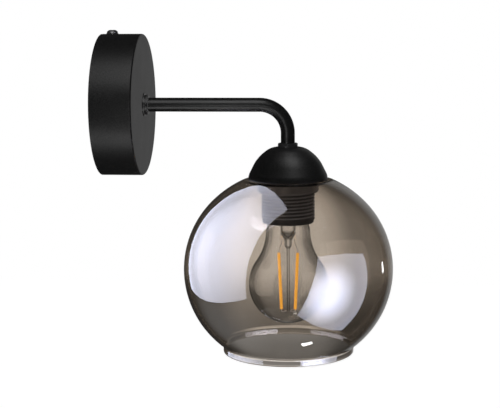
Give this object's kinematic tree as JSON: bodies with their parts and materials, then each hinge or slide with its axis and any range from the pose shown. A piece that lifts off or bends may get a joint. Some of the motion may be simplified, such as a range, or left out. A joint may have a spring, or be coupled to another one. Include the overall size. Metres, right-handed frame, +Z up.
{
  "type": "globe wall sconce",
  "caption": "Wall light with a round black canopy, a bent tube arm, a domed cap and an open smoked-glass globe round a screw-in filament bulb.",
  "frame": {"origin": "centre of the canopy's back and of the two wall screw slots, on the wall plane", "axes": "+X out of the wall along the arm, +Z up, +Y to the left of someone who faces the wall from the room, seen along -X"},
  "size_m": [0.2078, 0.15, 0.2316],
  "materials": {
    "black_coat": "fine-textured matt black powder coat",
    "black_nut": "satin black nuts",
    "dark_steel": "dark zinc-plated steel",
    "zinc_steel": "bright zinc plate",
    "tinned_brass": "tin",
    "white_polyamide": "milky white polyamide",
    "brass": "plain brass",
    "wire_brown": "insulation",
    "wire_blue": "insulation",
    "wire_green_yellow": "insulation, green with a yellow stripe",
    "holder_black": "moulded glossy black",
    "white_ceramic": "unglazed steatite",
    "nickel": "nickel plate",
    "smoked_glass": "smoke-grey blown glass",
    "clear_glass": "thin clear glass",
    "stem_glass": "clear glass",
    "cap_black": "black glass insulator",
    "board_green": "circuit board",
    "lead_wire": "nickel wire",
    "filament_yellow": "yellow phosphor rods"
  },
  "bodies": {
    "bracket": {"wall_bracket": "zinc_steel"},
    "screw_washer": {"canopy_screw_washer": "dark_steel"},
    "screw": {"canopy_screw": "dark_steel"},
    "shade": {"globe_shade": "smoked_glass"},
    "ring": {"shade_ring": "holder_black"},
    "bulb_tip": {"bulb_tip_contact": "tinned_brass"},
    "bulb": {"bulb_glass": "clear_glass", "bulb_cap_shell": "nickel", "bulb_cap_insulator": "cap_black", "bulb_driver": "board_green", "bulb_stem": "stem_glass", "bulb_lead_wires": "lead_wire", "bulb_filaments": "filament_yellow"},
    "fixture": {"canopy": "black_coat", "arm_tube": "black_coat", "arm_outer_washer": "black_coat", "arm_outer_nut": "black_nut", "arm_lock_washer": "zinc_steel", "earth_tag": "tinned_brass", "arm_inner_nut": "zinc_steel", "terminal_block": "white_polyamide", "terminal_clamps": "brass", "terminal_screws": "zinc_steel", "wire_live": "wire_brown", "wire_neutral": "wire_blue", "wire_earth": "wire_green_yellow", "dome_nut": "black_nut", "dome_cap": "black_coat", "holder_cap": "holder_black", "holder_lock_screw": "zinc_steel", "holder_body": "holder_black", "holder_insert": "white_ceramic", "holder_screw_shell": "nickel", "holder_centre_contact": "brass", "holder_terminals": "brass"}
  },
  "joints": [
    {"name": "fixture_pull", "type": "slide", "parent": "bracket", "child": "fixture", "axis": [1, 0, 0], "range_m": [0, 0.035]},
    {"name": "canopy_screw_travel", "type": "slide", "parent": "bracket", "child": "screw_washer", "axis": [0, 0, 1], "range_m": [0, 0.0059]},
    {"name": "canopy_screw_turn", "type": "hinge", "parent": "screw_washer", "child": "screw", "pos_m": [0.0076, 0, 0.0505], "axis": [0, 0, 1], "range_deg": [0, 3060]},
    {"name": "shade_travel", "type": "slide", "parent": "fixture", "child": "shade", "axis": [0, 0, -1], "range_m": [0, 0.0191]},
    {"name": "shade_ring_turn", "type": "hinge", "parent": "shade", "child": "ring", "pos_m": [0.1328, 0, -0.0555], "axis": [0, 0, -1], "range_deg": [0, 2880]},
    {"name": "bulb_travel", "type": "slide", "parent": "fixture", "child": "bulb_tip", "axis": [0, 0, -1], "range_m": [0, 0.0181]},
    {"name": "bulb_turn", "type": "hinge", "parent": "bulb_tip", "child": "bulb", "pos_m": [0.1328, 0, -0.0515], "axis": [0, 0, -1], "range_deg": [0, 1800]}
  ],
  "couplings": [
    {"joint": "canopy_screw_turn", "follows": "canopy_screw_travel", "rad_per_m": 8976},
    {"joint": "shade_ring_turn", "follows": "shade_travel", "rad_per_m": 2618},
    {"joint": "bulb_turn", "follows": "bulb_travel", "rad_per_m": 1731.4}
  ]
}
